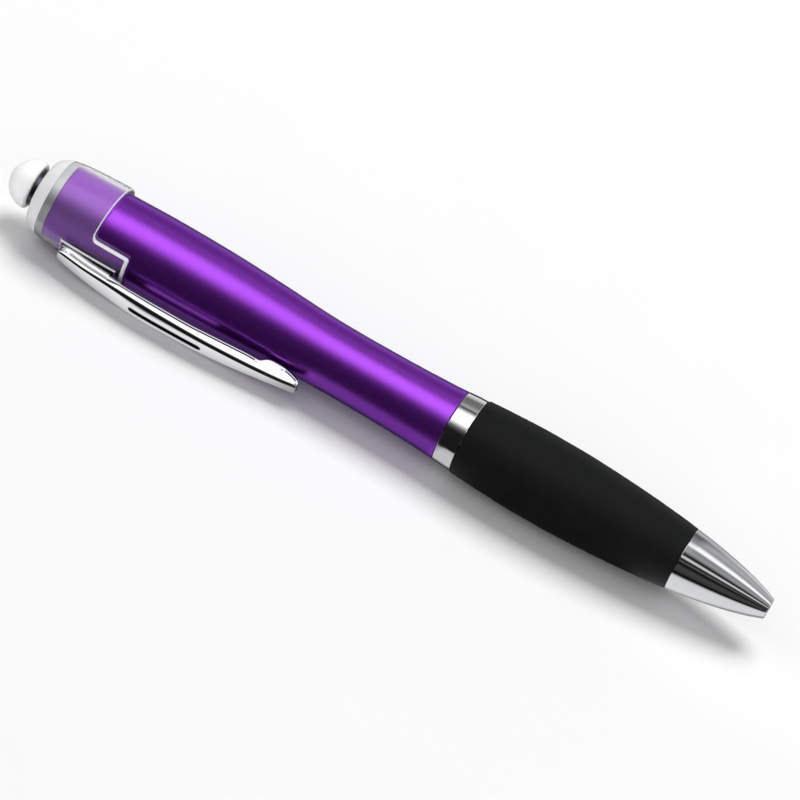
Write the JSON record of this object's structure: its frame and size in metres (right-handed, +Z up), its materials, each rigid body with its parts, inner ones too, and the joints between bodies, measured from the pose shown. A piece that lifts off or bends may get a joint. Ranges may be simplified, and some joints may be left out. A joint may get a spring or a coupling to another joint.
{
  "type": "ballpoint pen with stylus",
  "caption": "Twist-action ballpoint pen: chrome nose, bulged rubber grip, waisted metallic purple barrel, clear collar, chrome pocket clip and a white silicone stylus dome that works a light.",
  "frame": {"origin": "on the surface under the pen, at the middle of its length and of its width with the clip", "axes": "+X along the pen's axis towards the nose, +Z up, the clip on the -Y side with its edge on the surface"},
  "size_m": [0.142, 0.018, 0.015],
  "materials": {
    "chrome": "polished chrome plate",
    "grip_rubber": "matte soft-touch rubber",
    "dark_plastic": "matte moulded",
    "steel": "drawn, bright",
    "spring_steel": "drawn wire",
    "nickel_silver": "turned, nickel-silver colour",
    "carbide": "ground and polished",
    "ink_tube": "translucent tube filled with ink",
    "white_plastic": "moulded, slightly satin",
    "purple_lacquer": "satin metallic lacquer over plastic",
    "clear_plastic": "clear moulded, slightly milky at its end",
    "brass": "stamped",
    "cell_steel": "nickel-plated can",
    "led_epoxy": "clear epoxy",
    "board_green": "solder mask",
    "dark_metal": "polished dark plating",
    "silicone": "translucent white silicone, satin"
  },
  "bodies": {
    "upper": {"twist_cam": "white_plastic", "barrel": "purple_lacquer", "collar": "clear_plastic", "trim_ring": "chrome", "battery_holder": "white_plastic", "contact_spring": "brass", "button_cells": "cell_steel", "contact_strip": "brass", "led": "led_epoxy", "led_leads": "steel", "circuit_board": "board_green", "switch_body": "dark_plastic", "guide_cap": "white_plastic", "button_spring": "spring_steel"},
    "lower": {"nose_cone": "chrome", "grip_sleeve": "grip_rubber", "grip_tube": "dark_plastic", "center_ring": "chrome", "drive_tube": "steel", "retaining_ring": "spring_steel", "return_spring": "spring_steel"},
    "refill": {"refill_tip": "nickel_silver", "refill_tube": "ink_tube", "twist_plunger": "white_plastic"},
    "ball": {"writing_ball": "carbide"},
    "button": {"button_stem": "dark_metal", "switch_actuator": "white_plastic", "stylus_dome": "silicone"},
    "clip": {"clip": "chrome"}
  },
  "joints": [
    {"name": "twist", "type": "hinge", "parent": "upper", "child": "lower", "pos_m": [0.0121, 0.00146, 0.0075], "axis": [1, 0, 0], "range_deg": [0, 180]},
    {"name": "refill_slide", "type": "slide", "parent": "lower", "child": "refill", "axis": [1, 0, 0], "range_m": [0, 0.0045], "deforming": ["return_spring"]},
    {"name": "ball_roll", "type": "hinge", "parent": "refill", "child": "ball", "pos_m": [0.0691, 0.00146, 0.0075], "axis": [0, 1, 0], "continuous": true},
    {"name": "stylus_press", "type": "slide", "parent": "upper", "child": "button", "axis": [1, 0, 0], "range_m": [0, 0.001], "stiffness_N_per_m": 600, "deforming": ["button_spring"]},
    {"name": "clip_flex", "type": "hinge", "parent": "upper", "child": "clip", "pos_m": [-0.0561, -0.00542, 0.00361], "axis": [0, 0.4924, -0.8704], "range_deg": [0, 5], "stiffness_Nm_per_rad": 3}
  ],
  "couplings": [
    {"joint": "refill_slide", "follows": "twist", "m_per_rad": 0.0014323}
  ]
}
